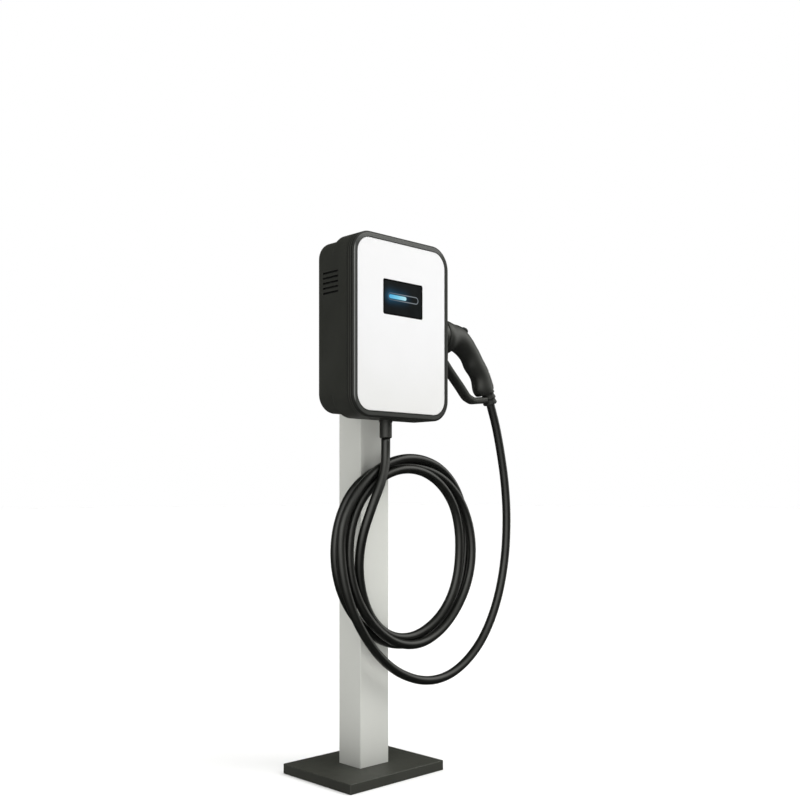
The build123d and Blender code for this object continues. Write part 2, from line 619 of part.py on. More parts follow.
def make_guard():
    points = [(x, HOLSTER_Y, z) for x, z in GUARD_ROUTE]
    path = FilletPolyline(*points, radius=GUARD_RADII)
    start = Plane(origin=points[0], x_dir=(0, 1, 0), z_dir=path % 0)
    return sweep(start * RectangleRounded(24, 15, 6), path=path)


def connector_body():
    """Both halves of the shell before they are parted."""
    outer = shell_loft(0)
    inner = shell_loft(SHELL_WALL)
    body = outer - inner
    body -= Plane(origin=COLLAR_START, z_dir=HANDLE_END_DIR) * handle_end_cut()
    body += make_guard() - inner
    for x, z in SHELL_SCREWS:
        body += rod_y(x, z, HOLSTER_Y + 40, HOLSTER_Y - 40, 4.4) & outer
    pin_boss = block(LATCH_X - 5, LATCH_X + 5, HOLSTER_Y - 40, HOLSTER_Y + 40, LATCH_Z - 6,
                     LATCH_Z + 5)
    body += pin_boss & outer
    back_wall = turned(collar_point(-20), COLLAR_DIR, [(4, 40)]) & inner
    spring_seat = block(224, 236, HOLSTER_Y - 30, HOLSTER_Y + 30, 921, 926) & inner
    return body + back_wall + spring_seat


def make_shell_halves():
    body = connector_body()
    body -= block(150, 254, HOLSTER_Y - SLOT_W / 2, HOLSTER_Y + SLOT_W / 2, 940, 975)
    body -= rod_y(LATCH_X, LATCH_Z, HOLSTER_Y + 12, HOLSTER_Y - 12, PIN_R + 0.02)
    for x, z in SHELL_SCREWS:
        body -= rod_y(x, z, HOLSTER_Y + 40, HOLSTER_Y - 12, 1.55)
        body -= rod_y(x, z, HOLSTER_Y + 40, HOLSTER_Y + 12, 3.2)
    body -= barrel(150, SHELL_FRONT + 15, NOSE_BACK_R + 0.1)
    body -= turned(collar_point(-0.3), COLLAR_DIR, [(60, 16.9)])
    body -= turned(collar_point(-COLLAR_NECK), COLLAR_DIR, [(60, 13.6)])
    front = body & block(100, 420, HOLSTER_Y, HOLSTER_Y - 60, 700, 1000)
    rear = body & block(100, 420, HOLSTER_Y, HOLSTER_Y + 60, 700, 1000)
    return front, rear


NOSE_BACK_R = 25.0
PIN_R = 2.0
BIG_CONTACTS = [(-8.5, 5.5), (8.5, 5.5), (0.0, -9.5)]
SMALL_CONTACTS = [(-12.0, -6.5), (12.0, -6.5)]


def contact_places():
    places = [(y, z, 3.4) for y, z in BIG_CONTACTS]
    return places + [(y, z, 2.4) for y, z in SMALL_CONTACTS]


def make_nose():
    nose = barrel(NOSE_FRONT, SHELL_FRONT, NOSE_R)
    nose = chamfer(nose.faces().sort_by(Axis.X)[0].edges(), 1.2)
    nose += barrel(SHELL_FRONT, SHELL_FRONT + 14, NOSE_BACK_R)
    nose -= barrel(NOSE_FRONT - 1, NOSE_FRONT + 26, NOSE_R - 2.6)
    nose += barrel(NOSE_FRONT + 3, NOSE_FRONT + 28, NOSE_R - 4.6)
    for y, z, radius in contact_places():
        nose -= rod((NOSE_FRONT, HOLSTER_Y + y, HOLSTER_Z + z),
                    (NOSE_FRONT + 26, HOLSTER_Y + y, HOLSTER_Z + z), radius)
    return nose - block(SHELL_FRONT - 1, SHELL_FRONT + 15, HOLSTER_Y - 7, HOLSTER_Y + 7,
                        HOLSTER_Z + 13, HOLSTER_Z + 30)


def make_contacts():
    tubes = []
    for y, z, radius in contact_places():
        start = (NOSE_FRONT + 6, HOLSTER_Y + y, HOLSTER_Z + z)
        end = (NOSE_FRONT + 26, HOLSTER_Y + y, HOLSTER_Z + z)
        tubes.append(rod(start, end, radius - 0.3) - rod(start, end, radius - 1.3))
    return group(tubes)


def thumb_pad():
    """The rounded end of the lever that the thumb presses, tilted with the handle's back."""
    pad = Box(PAD_LEN, PAD_W, PAD_T)
    pad = fillet(pad.edges(), PAD_ROUND)
    return Pos(PAD_X, HOLSTER_Y, PAD_Z) * Rot(0, PAD_TILT, 0) * pad


def make_latch_lever():
    low = LATCH_Z - 2.6
    outline = Polyline(
        (148, 956.6), (152, 953.2), (158, 953.2), (158, 954.6), (198, low + 4), (201, low),
        (213, low), (216, low + 1), (236, low - 0.6), (246.5, low - 2.6), (248.6, 948.9),
        (247.3, 952.6), (242.5, 955.9), (238, 956.6), (235.5, 955.4), (213, 959.6),
        (185, 960.4), (152, 960.4), (148, 958.4), (148, 956.6))
    face = face_plane(HOLSTER_Y + LEVER_W / 2) * make_face(outline)
    lever = extrude(face, LEVER_W) + thumb_pad()
    return lever - rod_y(LATCH_X, LATCH_Z, HOLSTER_Y + 8, HOLSTER_Y - 8, PIN_R + 0.06)


def make_latch_pin():
    return rod_y(LATCH_X, LATCH_Z, HOLSTER_Y + 11.5, HOLSTER_Y - 11.5, PIN_R)


def make_latch_spring():
    return rod((230, HOLSTER_Y, 926), (230, HOLSTER_Y, 947.6), 3)


def make_shell_screws():
    screws = []
    for x, z in SHELL_SCREWS:
        head = rod_y(x, z, HOLSTER_Y + 14.4, HOLSTER_Y + 12, 2.9)
        screws.append(head + rod_y(x, z, HOLSTER_Y + 12, HOLSTER_Y - 11, 1.5))
    return group(screws)


def collar_point(distance):
    """A point on the collar's axis."""
    return tuple(Vector(*COLLAR_START) + Vector(*COLLAR_DIR) * distance)


def make_clamp_collar():
    first, last = COLLAR_OUTLINE[0][1], COLLAR_OUTLINE[-1][1]
    outline = [(COLLAR_BORE_R, first), *COLLAR_OUTLINE, (COLLAR_BORE_R, last)]
    side = Plane(origin=COLLAR_START, x_dir=COLLAR_SIDE, z_dir=(0, 1, 0))
    ring_face = side * make_face(Polyline(*outline, close=True))
    return revolve(ring_face, Axis(COLLAR_START, COLLAR_DIR))


def make_cable_end():
    tube = rod(collar_point(-10), collar_point(90), CABLE_R)
    return tube & block(200, 450, HOLSTER_Y - 30, HOLSTER_Y + 30, CUT_Z, 900)


# ---- free cable -----------------------------------------------------------
def arc_radii(points):
    """Each corner's arc is as large as its two runs allow."""
    radii = []
    for before, corner, after in zip(points, points[1:], points[2:]):
        run_in = Vector(*corner) - Vector(*before)
        run_out = Vector(*after) - Vector(*corner)
        turn = run_in.get_angle(run_out)
        shorter = min(run_in.length, run_out.length)
        radii.append(0.45 * shorter / tan(radians(turn / 2)))
    return radii


def cable_tube(points, name):
    radii = arc_radii(points)
    path = FilletPolyline(*points, radius=radii)
    start = Plane(origin=points[0], z_dir=path % 0)
    tube = sweep(start * Circle(CABLE_R), path=path)
    wanted = path.length * Circle(CABLE_R).area
    print(name, "length", round(path.length, 1), "radii", [round(r) for r in radii])
    print(name, "volume over section times length", round(tube.volume / wanted, 4))
    return tube


def make_cable_tail():
    tube = cable_tube(TAIL_ROUTE, "cable_tail")
    return tube & block(-300, 600, -200, 100, 0, CUT_Z - GAP)


def make_cable_coil():
    """The outer shape of three turns, as one ring."""
    width = COIL_OUT - COIL_IN
    depth = COIL_BACK - COIL_FACE
    middle = (COIL_OUT + COIL_IN) / 2
    plane = Plane(origin=(COIL_X + middle, (COIL_BACK + COIL_FACE) / 2, COIL_Z), x_dir=(1, 0, 0),
                  z_dir=(0, 0, 1))
    axis = Axis((COIL_X, 0, COIL_Z), (0, 1, 0))
    return revolve(plane * RectangleRounded(width, depth, 12), axis=axis)


# ---- write every node -----------------------------------------------------
def main():
    os.makedirs("parts", exist_ok=True)
    save(make_foot_plate(), "foot_plate")
    save(make_base_cover(), "base_cover")
    save(make_post(), "post_tube")
    save(make_post_cap(), "post_cap")
    save(make_earth_stud(), "earth_stud")
    save(make_adapter_plate(), "adapter_plate")
    save(make_adapter_bolts(), "adapter_bolts")
    save(make_rivet_nuts(), "rivet_nuts")
    save(make_housing_screws(), "housing_screws")
    save(make_cable_hook(), "cable_hook")
    save(make_hook_screws(), "hook_screws")
    save(make_rear_housing(), "rear_housing")
    save(make_front_frame(), "front_frame")
    save(make_front_panel(), "front_panel")
    save(seal_ring(0.1, 1.6), "frame_seal")
    save(make_frame_screws(), "frame_screws")
    save(make_screen_glass(), "screen_glass")
    save(make_screen_module(), "screen_module")
    save(make_screen_bracket(), "screen_bracket")
    save(make_reader_antenna(), "reader_antenna")
    save(make_vent_filter(), "vent_filter")
    save(make_inner_plate(), "inner_plate")
    save(make_inner_screws(), "inner_plate_screws")
    save(make_din_rail(), "din_rail")
    save(rail_module(-20, 45, 80, 36, 6), "contactor")
    save(rail_module(22, 35, 80, 36, 6), "residual_current_monitor")
    save(rail_module(66, 50, 80, 36, 6), "energy_meter")
    save(make_terminal_block(), "terminal_block")
    save(make_control_board(), "control_board")
    save(make_board_standoffs(), "board_standoffs")
    save(make_board_parts(), "board_components")
    save(make_current_sensor(), "current_sensor_ring")
    save(make_outlet_gland(), "outlet_gland")
    save(make_outlet_seal(), "outlet_gland_seal")
    save(make_outlet_locknut(), "outlet_locknut")
    save(make_cable_root(), "cable_root")
    save(make_supply_gland(), "supply_gland")
    save(make_supply_locknut(), "supply_locknut")
    save(make_holster(), "holster")
    save(make_holster_screws(), "holster_screws")
    front_shell, rear_shell = make_shell_halves()
    save(front_shell, "connector_shell_front")
    save(rear_shell, "connector_shell_rear")
    save(make_nose(), "connector_nose")
    save(make_contacts(), "contact_sleeves")
    save(make_latch_lever(), "latch_lever")
    save(make_latch_pin(), "latch_pin")
    save(make_latch_spring(), "latch_spring")
    save(make_shell_screws(), "shell_screws")
    save(make_clamp_collar(), "clamp_collar")
    save(make_cable_end(), "cable_end")
    save(cable_tube(LEAD_ROUTE, "cable_lead"), "cable_lead")
    save(make_cable_coil(), "cable_coil")
    save(make_cable_tail(), "cable_tail")


main()
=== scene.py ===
from math import cos, pi, radians, sin

import bmesh
import bpy
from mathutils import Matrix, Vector


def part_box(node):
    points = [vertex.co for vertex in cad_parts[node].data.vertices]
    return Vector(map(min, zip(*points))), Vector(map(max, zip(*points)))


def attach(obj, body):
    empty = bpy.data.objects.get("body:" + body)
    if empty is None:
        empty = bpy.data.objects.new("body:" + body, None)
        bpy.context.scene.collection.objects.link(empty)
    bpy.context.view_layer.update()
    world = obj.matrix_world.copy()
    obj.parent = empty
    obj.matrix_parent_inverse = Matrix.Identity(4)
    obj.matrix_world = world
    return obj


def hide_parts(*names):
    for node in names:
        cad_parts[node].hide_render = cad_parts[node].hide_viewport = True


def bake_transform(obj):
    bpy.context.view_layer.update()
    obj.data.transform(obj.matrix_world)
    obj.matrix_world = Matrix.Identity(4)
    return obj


# Electric vehicle charging post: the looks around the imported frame, in metres.
# X runs to the right of the charger's face, the face looks towards -Y, Z is up.

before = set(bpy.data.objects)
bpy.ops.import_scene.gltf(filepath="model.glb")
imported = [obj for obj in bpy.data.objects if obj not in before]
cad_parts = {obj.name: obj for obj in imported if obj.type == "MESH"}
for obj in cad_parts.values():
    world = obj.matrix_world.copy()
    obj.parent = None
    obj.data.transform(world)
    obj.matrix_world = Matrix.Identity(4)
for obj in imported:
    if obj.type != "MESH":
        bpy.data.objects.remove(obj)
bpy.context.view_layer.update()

# ---- driving sizes, from the frame ----------------------------------------
PANEL_LOW, PANEL_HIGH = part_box("front_panel")
GLASS_LOW, GLASS_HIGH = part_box("screen_glass")
HOUSING_LOW, HOUSING_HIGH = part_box("rear_housing")
FRAME_LOW, FRAME_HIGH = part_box("front_frame")
NOSE_LOW, NOSE_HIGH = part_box("connector_nose")

CABLE_D = 0.019
PLUG_Y = (NOSE_LOW.y + NOSE_HIGH.y) / 2

# ---- camera ---------------------------------------------------------------
CAMERA_PLACE = (-1.4184, -1.5789, 0.5848)
CAMERA_HEADING = -44
CAMERA_LENS = 45.16
CAMERA_SHIFT = 0.1183


def make_camera():
    """Level and at half the object's height, with its face and its left side in view."""
    camera = bpy.data.objects.new("camera", bpy.data.cameras.new("camera"))
    camera.location = CAMERA_PLACE
    camera.rotation_euler = (radians(90), 0, radians(CAMERA_HEADING))
    camera.data.lens = CAMERA_LENS
    camera.data.shift_y = CAMERA_SHIFT
    bpy.context.scene.collection.objects.link(camera)
    bpy.context.scene.camera = camera


make_camera()


# ---- helpers --------------------------------------------------------------
def link(name, data):
    """A new object in the scene."""
    made = bpy.data.objects.new(name, data)
    bpy.context.scene.collection.objects.link(made)
    return made


def mesh_piece(name, maker, material):
    """A smooth object of one material, from a bmesh that is done with."""
    mesh = bpy.data.meshes.new(name)
    maker.normal_update()
    maker.to_mesh(mesh)
    maker.free()
    for polygon in mesh.polygons:
        polygon.use_smooth = True
    mesh.materials.append(material)
    return link(name, mesh)


def colour(code):
    """A linear colour from a web colour."""
    parts = [int(code[i:i + 2], 16) / 255 for i in (1, 3, 5)]
    linear = [p / 12.92 if p <= 0.04045 else ((p + 0.055) / 1.055) ** 2.4 for p in parts]
    return (*linear, 1.0)


# ---- the cable's line -----------------------------------------------------
# From the gland down and round into the coil, then from the coil to the plug.
LEAD_ROUTE = [
    (-0.005, -0.073, 0.701), (-0.005, -0.073, 0.671), (-0.012, -0.0785, 0.641),
    (-0.027, -0.083, 0.609), (-0.0445, -0.0835, 0.577), (-0.058, -0.080, 0.543),
    (-0.068, -0.073, 0.505), (-0.0705, -0.065, 0.464), (-0.065, -0.058, 0.421),
    (-0.0515, -0.054, 0.376), (-0.0305, -0.0525, 0.335), (0.003, -0.053, 0.301),
    (0.046, -0.0545, 0.282),
]
TAIL_ROUTE = [
    (-0.1135, -0.065, 0.536), (-0.122, -0.066, 0.485), (-0.120, -0.069, 0.433),
    (-0.109, -0.072, 0.383), (-0.087, -0.074, 0.333), (-0.055, -0.074, 0.287),
    (-0.013, -0.073, 0.243), (0.043, -0.0715, 0.207), (0.113, -0.070, 0.184),
    (0.184, -0.0685, 0.185), (0.251, -0.067, 0.212), (0.311, -0.066, 0.262),
    (0.357, -0.066, 0.340), (0.383, -0.066, 0.432), (0.390, -0.066, 0.528),
    (0.383, -0.066, 0.610), (0.368, -0.066, 0.680), (0.3509, -0.066, 0.742),
    (0.3319, -0.066, 0.789), (0.3265, -0.066, 0.8025),
]
# The coil's middle, and the degrees of turn between which its points are set.
COIL_X, COIL_Z = 0.075, 0.460
COIL_START, COIL_END, COIL_STEP = 278, 1225, 20
# The loose turns differ in size and place: radius and Y at every eighth of a turn.
EIGHTH, FIRST_EIGHTH = 45, 270
COIL_SHAPE = [
    (0.182, -0.055), (0.168, -0.061), (0.1535, -0.0645), (0.171, -0.066),
    (0.182, -0.0637), (0.1785, -0.058), (0.168, -0.057), (0.177, -0.0645),
    (0.197, -0.069), (0.192, -0.067), (0.196, -0.065), (0.1985, -0.0575),
    (0.189, -0.045), (0.1995, -0.0445), (0.196, -0.0455), (0.19, -0.0445),
    (0.1975, -0.0455), (0.197, -0.046), (0.1965, -0.0435), (0.2155, -0.048),
    (0.2045, -0.057), (0.2, -0.0635), (0.196, -0.066),
]
LINE_STEPS = 8


def coil_place(angle):
    """Radius and Y of the coil at an angle, smoothly between its eighths."""
    eighths = max(0.0, (angle - FIRST_EIGHTH) / EIGHTH)
    last = len(COIL_SHAPE) - 1
    index = min(int(eighths), last - 1)
    t = eighths - index
    a, b, c, d = [Vector(COIL_SHAPE[min(max(index + k, 0), last)]) for k in (-1, 0, 1, 2)]
    bend = (2 * a - 5 * b + 4 * c - d) * t + (3 * b - 3 * c + d - a) * t * t
    return b + 0.5 * t * ((c - a) + bend)


def coil_points():
    """The points of the coil's turns, one every few degrees."""
    points = []
    for angle in range(COIL_START, COIL_END, COIL_STEP):
        radius, y = coil_place(angle)
        x = COIL_X + radius * cos(radians(angle))
        z = COIL_Z + radius * sin(radians(angle))
        points.append((x, y, z))
    return points


def smooth_line(name, points):
    """The points along a NURBS spline that has the given points as its control points."""
    curve = bpy.data.curves.new(name, "CURVE")
    curve.dimensions = "3D"
    curve.resolution_u = LINE_STEPS
    spline = curve.splines.new("NURBS")
    spline.points.add(len(points) - 1)
    for point, place in zip(spline.points, points):
        point.co = (*place, 1.0)
    spline.order_u = 3
    spline.use_endpoint_u = True
    holder = link(name, curve)
    bpy.context.view_layer.update()
    mesh = bpy.data.meshes.new_from_object(holder)
    line = [vertex.co.copy() for vertex in mesh.vertices]
    bpy.data.objects.remove(holder)
    bpy.data.meshes.remove(mesh)
    return line


CABLE_LINE = smooth_line("cable_line", LEAD_ROUTE + coil_points() + TAIL_ROUTE)


# ---- material kit ---------------------------------------------------------
class Finish:
    """Builds one procedural material from small steps."""

    def __init__(self, name):
        self.material = bpy.data.materials.new(name)
        self.material.use_nodes = True
        self.tree = self.material.node_tree
        self.shader = self.tree.nodes["Principled BSDF"]
        self.place = self.node("ShaderNodeTexCoord").outputs["Object"]
        split = self.node("ShaderNodeSeparateXYZ")
        self.join(self.place, split.inputs[0])
        self.axes = split.outputs

    def node(self, kind, **values):
        made = self.tree.nodes.new(kind)
        for key, value in values.items():
            setattr(made, key, value)
        return made

    def join(self, source, target):
        self.tree.links.new(source, target)

    def stretched(self, scale):
        mapping = self.node("ShaderNodeMapping")
        mapping.inputs["Scale"].default_value = scale
        self.join(self.place, mapping.inputs["Vector"])
        return mapping.outputs["Vector"]

    def noise(self, scale, detail=3.0, roughness=0.55, place=None):
        made = self.node("ShaderNodeTexNoise")
        made.inputs["Scale"].default_value = scale
        made.inputs["Detail"].default_value = detail
        made.inputs["Roughness"].default_value = roughness
        self.join(place or self.place, made.inputs["Vector"])
        return made.outputs["Fac"]

    def cells(self, scale, place=None):
        made = self.node("ShaderNodeTexVoronoi")
        made.inputs["Scale"].default_value = scale
        self.join(place or self.place, made.inputs["Vector"])
        return made.outputs["Distance"]

    def math(self, operation, first, second=0.0):
        made = self.node("ShaderNodeMath", operation=operation)
        for socket, value in zip(made.inputs, (first, second)):
            if isinstance(value, bpy.types.NodeSocket):
                self.join(value, socket)
            else:
                socket.default_value = value
        return made.outputs[0]

    def between(self, value, low, high, to_low, to_high):
        """A value's place from one number to another, as a step from a third to a fourth."""
        made = self.node("ShaderNodeMapRange")
        made.inputs["From Min"].default_value = low
        made.inputs["From Max"].default_value = high
        made.inputs["To Min"].default_value = to_low
        made.inputs["To Max"].default_value = to_high
        self.join(value, made.inputs["Value"])
        return made.outputs["Result"]

    def ramp(self, value, *stops):
        made = self.node("ShaderNodeValToRGB")
        elements = made.color_ramp.elements
        while len(elements) < len(stops):
            elements.new(0.5)
        for element, (position, code) in zip(elements, stops):
            element.position = position
            element.color = colour(code)
        self.join(value, made.inputs["Fac"])
        return made.outputs["Color"]

    def mixed(self, factor, first, second):
        made = self.node("ShaderNodeMix", data_type="RGBA")
        self.join(factor, made.inputs["Factor"])
        for socket, value in ((made.inputs[6], first), (made.inputs[7], second)):
            if isinstance(value, bpy.types.NodeSocket):
                self.join(value, socket)
            else:
                socket.default_value = colour(value)
        return made.outputs[2]

    def edges(self, radius):
        """About 1 along sharp edges and 0 on flat stretches, and the rounded normal."""
        bevel = self.node("ShaderNodeBevel", samples=4)
        bevel.inputs["Radius"].default_value = radius
        flat = self.node("ShaderNodeNewGeometry").outputs["Normal"]
        product = self.node("ShaderNodeVectorMath", operation="DOT_PRODUCT")
        self.join(bevel.outputs["Normal"], product.inputs[0])
        self.join(flat, product.inputs[1])
        return self.between(product.outputs["Value"], 0.995, 0.86, 0.0, 1.0), bevel.outputs["Normal"]

    def bump(self, height, strength, distance, normal=None):
        made = self.node("ShaderNodeBump")
        made.inputs["Strength"].default_value = strength
        made.inputs["Distance"].default_value = distance
        self.join(height, made.inputs["Height"])
        if normal is not None:
            self.join(normal, made.inputs["Normal"])
        return made.outputs["Normal"]

    def away(self, axis, place):
        """Distance from a place along one axis."""
        return self.math("ABSOLUTE", self.math("SUBTRACT", self.axes[axis], place))

    def length(self, first, second):
        """Length of the diagonal over two distances."""
        squares = [self.math("MULTIPLY", part, part) for part in (first, second)]
        return self.math("SQRT", self.math("ADD", *squares))

    def outline(self, low, high, inset, corner):
        """Distance outside a rounded outline in X and Z, drawn in by an inset, below 0 inside it."""
        middle, half = (low + high) / 2, (high - low) / 2
        overs = [self.math("SUBTRACT", self.away("X", middle.x), half.x - inset - corner),
                 self.math("SUBTRACT", self.away("Z", middle.z), half.z - inset - corner)]
        outside = self.length(*[self.math("MAXIMUM", over, 0.0) for over in overs])
        inside = self.math("MINIMUM", self.math("MAXIMUM", *overs), 0.0)
        return self.math("SUBTRACT", self.math("ADD", outside, inside), corner)

    def pill(self, across, up, length, height):
        """Distance outside a lying pill, below 0 inside it, from the distances to its middle."""
        beyond = self.math("MAXIMUM", self.math("SUBTRACT", across, (length - height) / 2), 0.0)
        return self.math("SUBTRACT", self.length(beyond, up), height / 2)

    def surface(self, base, roughness, normal, **constants):
        self.join(base, self.shader.inputs["Base Color"])
        self.join(roughness, self.shader.inputs["Roughness"])
        self.join(normal, self.shader.inputs["Normal"])
        for key, value in constants.items():
            self.shader.inputs[key.replace("_", " ")].default_value = value
        return self.material


# ---- kinds of material ----------------------------------------------------
PLASTIC_EDGE, PAINT_EDGE, PANEL_EDGE = 0.0012, 0.0016, 0.0012


def moulded_plastic(name, dark, light, worn, rough, grain=1500.0, level=0.2, shade=None):
    """Spark-eroded mould texture, soft cloudy tone and slightly polished edges."""
    f = Finish(name)
    cloud = f.noise(9.0, 4.0, 0.6)
    fine = f.noise(grain, 2.0, 0.5)
    edge_mask, rounded = f.edges(PLASTIC_EDGE)
    rub = f.math("MULTIPLY", edge_mask, f.between(f.noise(70.0, 3.0), 0.35, 0.7, 0.15, 0.8))
    tone = f.ramp(cloud, (0.3, dark), (0.72, light))
    speckled = f.mixed(f.between(fine, 0.45, 0.75, 0.0, 0.25), tone, light)
    base = f.mixed(rub, speckled, worn)
    if shade is not None:
        base = shade(f, base)
    smear = f.noise(26.0, 5.0, 0.65, f.stretched((1, 1, 0.35)))
    roughness = f.math("ADD", f.between(smear, 0.3, 0.75, rough[0], rough[1]),
                       f.math("MULTIPLY", rub, -0.12))
    normal = f.bump(fine, 0.35, 0.00012, rounded)
    return f.surface(base, roughness, normal, Specular_IOR_Level=level)


def powder_coat(name, dark, light, worn, rough=(0.42, 0.56), peel=420.0, depth=0.0002):
    """Sprayed and baked paint: orange peel, faint clouds and rubbed edges."""
    f = Finish(name)
    cloud = f.noise(5.0, 4.0, 0.55, f.stretched((1, 1, 0.4)))
    peel_height = f.noise(peel, 2.0, 0.45)
    grit = f.cells(peel * 4)
    edge_mask, rounded = f.edges(PAINT_EDGE)
    rub = f.math("MULTIPLY", edge_mask, f.between(f.noise(120.0, 3.0), 0.4, 0.65, 0.2, 0.9))
    base = f.mixed(rub, f.ramp(cloud, (0.3, dark), (0.72, light)), worn)
    roughness = f.between(f.noise(18.0, 4.0, 0.6), 0.3, 0.72, rough[0], rough[1])
    height = f.math("ADD", peel_height, f.math("MULTIPLY", grit, 0.25))
    normal = f.bump(height, 0.3, depth, rounded)
    return f.surface(base, roughness, normal, Specular_IOR_Level=0.4)


def plated_metal(name, dark, light, rough, spangle=160.0):
    """Zinc, brass or aluminium with crystal spangle and fine handling marks."""
    f = Finish(name)
    crystals = f.cells(spangle)
    marks = f.noise(420.0, 4.0, 0.7, f.stretched((1, 1, 0.08)))
    both = f.math("ADD", f.math("MULTIPLY", crystals, 0.6), f.math("MULTIPLY", marks, 0.4))
    base = f.ramp(both, (0.25, dark), (0.7, light))
    roughness = f.between(marks, 0.3, 0.7, rough[0], rough[1])
    normal = f.bump(marks, 0.2, 0.00006)
    return f.surface(base, roughness, normal, Metallic=1.0, Specular_IOR_Level=0.5)


def soft_rubber(name, dark, light, rough=(0.5, 0.62), wave=0.0004):
    """Extruded or moulded rubber with faint flow lines and a dusty bloom."""
    f = Finish(name)
    bloom = f.noise(28.0, 5.0, 0.6)
    flow = f.noise(240.0, 3.0, 0.5)
    grain = f.noise(2600.0, 2.0, 0.5)
    base = f.ramp(bloom, (0.32, dark), (0.75, light))
    roughness = f.between(flow, 0.3, 0.7, rough[0], rough[1])
    height = f.math("ADD", flow, f.math("MULTIPLY", grain, 0.35))
    return f.surface(base, roughness, f.bump(height, 0.25, wave), Specular_IOR_Level=0.42)


def open_foam(name):
    """Dark filter foam with open pores."""
    f = Finish(name)
    pores = f.cells(900.0)
    base = f.ramp(pores, (0.2, "#0c0d0c"), (0.7, "#2b2c2a"))
    roughness = f.between(pores, 0.0, 1.0, 0.85, 0.98)
    return f.surface(base, roughness, f.bump(pores, 0.8, 0.0006), Specular_IOR_Level=0.2)


def circuit_board(name):
    """Green solder mask over patches of copper."""
    f = Finish(name)
    copper = f.cells(260.0, f.stretched((1, 1, 0.5)))
    base = f.ramp(copper, (0.1, "#0f4a2c"), (0.5, "#17633c"))
    roughness = f.between(copper, 0.0, 1.0, 0.3, 0.5)
    return f.surface(base, roughness, f.bump(copper, 0.3, 0.0001), Specular_IOR_Level=0.5)


def panel_paint(name):
    """Satin white front panel, a trace warmer and greyer in soft clouds, and also low down, where it is
    painted shade.
    """
    f = Finish(name)
    # The noise is tone that varies at random; the step with height is painted shade, greyer low down.
    cloud = f.math("ADD", f.math("MULTIPLY", f.noise(4.0, 3.0, 0.5), 0.5),
                   f.between(f.axes["Z"], PANEL_LOW.z, PANEL_HIGH.z, 0.0, 0.5))
    peel = f.noise(620.0, 2.0, 0.45)
    edge_mask, rounded = f.edges(PANEL_EDGE)
    tone = f.ramp(cloud, (0.2, "#d6d6d4"), (0.55, "#dfdfe0"), (0.8, "#dfdfdf"))
    base = f.mixed(f.math("MULTIPLY", edge_mask, 0.35), tone, "#cfd1d0")
    roughness = f.between(f.noise(14.0, 5.0, 0.6), 0.3, 0.72, 0.34, 0.46)
    return f.surface(base, roughness, f.bump(peel, 0.12, 0.0001, rounded), Specular_IOR_Level=0.2)


# ---- the screen -----------------------------------------------------------
# The bar's ends and the end of its fill, from the middle of the glass.
BAR_LEFT, BAR_RIGHT, BAR_UP, FILL_RIGHT = -0.0415, 0.0425, 0.0018, 0.0090
RING_HEIGHT, FILL_HEIGHT, FILL_GAP = 0.0132, 0.0076, 0.0022
GLOW_REACH = 0.026
RIM_WIDTH, RIM_CORNER = 0.0030, 0.0045


def charging_bar(f):
    """The picture on the screen: a ring, a lit fill in its left half, and a glow round the fill."""
    middle = (GLASS_LOW + GLASS_HIGH) / 2
    left, right, fill_right = middle.x + BAR_LEFT, middle.x + BAR_RIGHT, middle.x + FILL_RIGHT
    up = f.away("Z", middle.z + BAR_UP)

    def outside(start, end, height):
        return f.pill(f.away("X", (start + end) / 2), up, end - start, height)

    along = f.between(f.axes["X"], left, fill_right, 0.0, 1.0)
    to_fill = outside(left + FILL_GAP, fill_right, FILL_HEIGHT)
    glow = f.math("POWER", f.between(to_fill, 0.0, GLOW_REACH, 1.0, 0.0), 3.0)
    glow = f.math("MULTIPLY", glow, f.between(along, -0.2, 1.1, 1.0, 0.25))
    halo = f.mixed(glow, "#030506", "#1f5c7d")
    to_ring = f.math("ABSOLUTE", outside(left, right, RING_HEIGHT))
    ring = f.math("MULTIPLY", f.between(to_ring, 0.0004, 0.0013, 1.0, 0.0),
                  f.between(f.axes["X"], left, fill_right, 0.25, 0.95))
    streak = f.noise(900.0, 2.0, 0.5, f.stretched((1, 1, 0.4)))
    tone = f.math("ADD", f.math("MULTIPLY", along, 0.75), f.math("MULTIPLY", streak, 0.25))
    bright = f.ramp(tone, (0.1, "#4db6ee"), (0.5, "#7fd9fa"), (0.85, "#bff4ff"))
    fill = f.between(to_fill, -0.0005, 0.0005, 1.0, 0.0)
    return f.mixed(fill, f.mixed(ring, halo, "#8d949b"), bright)


def screen_glass(name):
    """Dark glass with a black rim, smeared by fingers, and the charging bar lit behind it."""
    f = Finish(name)
    rim = f.outline(GLASS_LOW, GLASS_HIGH, RIM_WIDTH, RIM_CORNER)
    lit_area = f.between(rim, -0.0008, 0.0004, 1.0, 0.0)
    face = f.mixed(lit_area, "#010101", f.ramp(f.noise(40.0, 3.0), (0.3, "#0b0c0d"), (0.7, "#121415")))
    smear = f.noise(60.0, 5.0, 0.7)
    f.join(f.mixed(lit_area, "#000000", charging_bar(f)), f.shader.inputs["Emission Color"])
    return f.surface(face, f.between(smear, 0.35, 0.7, 0.12, 0.22), f.bump(smear, 0.04, 0.00005),
                     Specular_IOR_Level=0.04, Emission_Strength=0.85)


# ---- shades of the box ----------------------------------------------------
# How far in from its sides, from its top and bottom, and from its back the housing keeps its own tone.
SKIN = Vector((0.0012, 0, 0.06))
BACK_SKIN = 0.0085
VENT_TOP, VENT_PITCH, VENT_COUNT = 1.0259, 0.01005, 5
VENT_Y, VENT_LENGTH, VENT_HEIGHT, VENT_LIP = -0.0515, 0.046, 0.0028, 0.0008
FRAME_CORNER = 0.046
# How far back from the frame's front the painted highlight lines run on its sides.
FRAME_SIDE_HIGHLIGHTS = (0.0075, 0.0130)


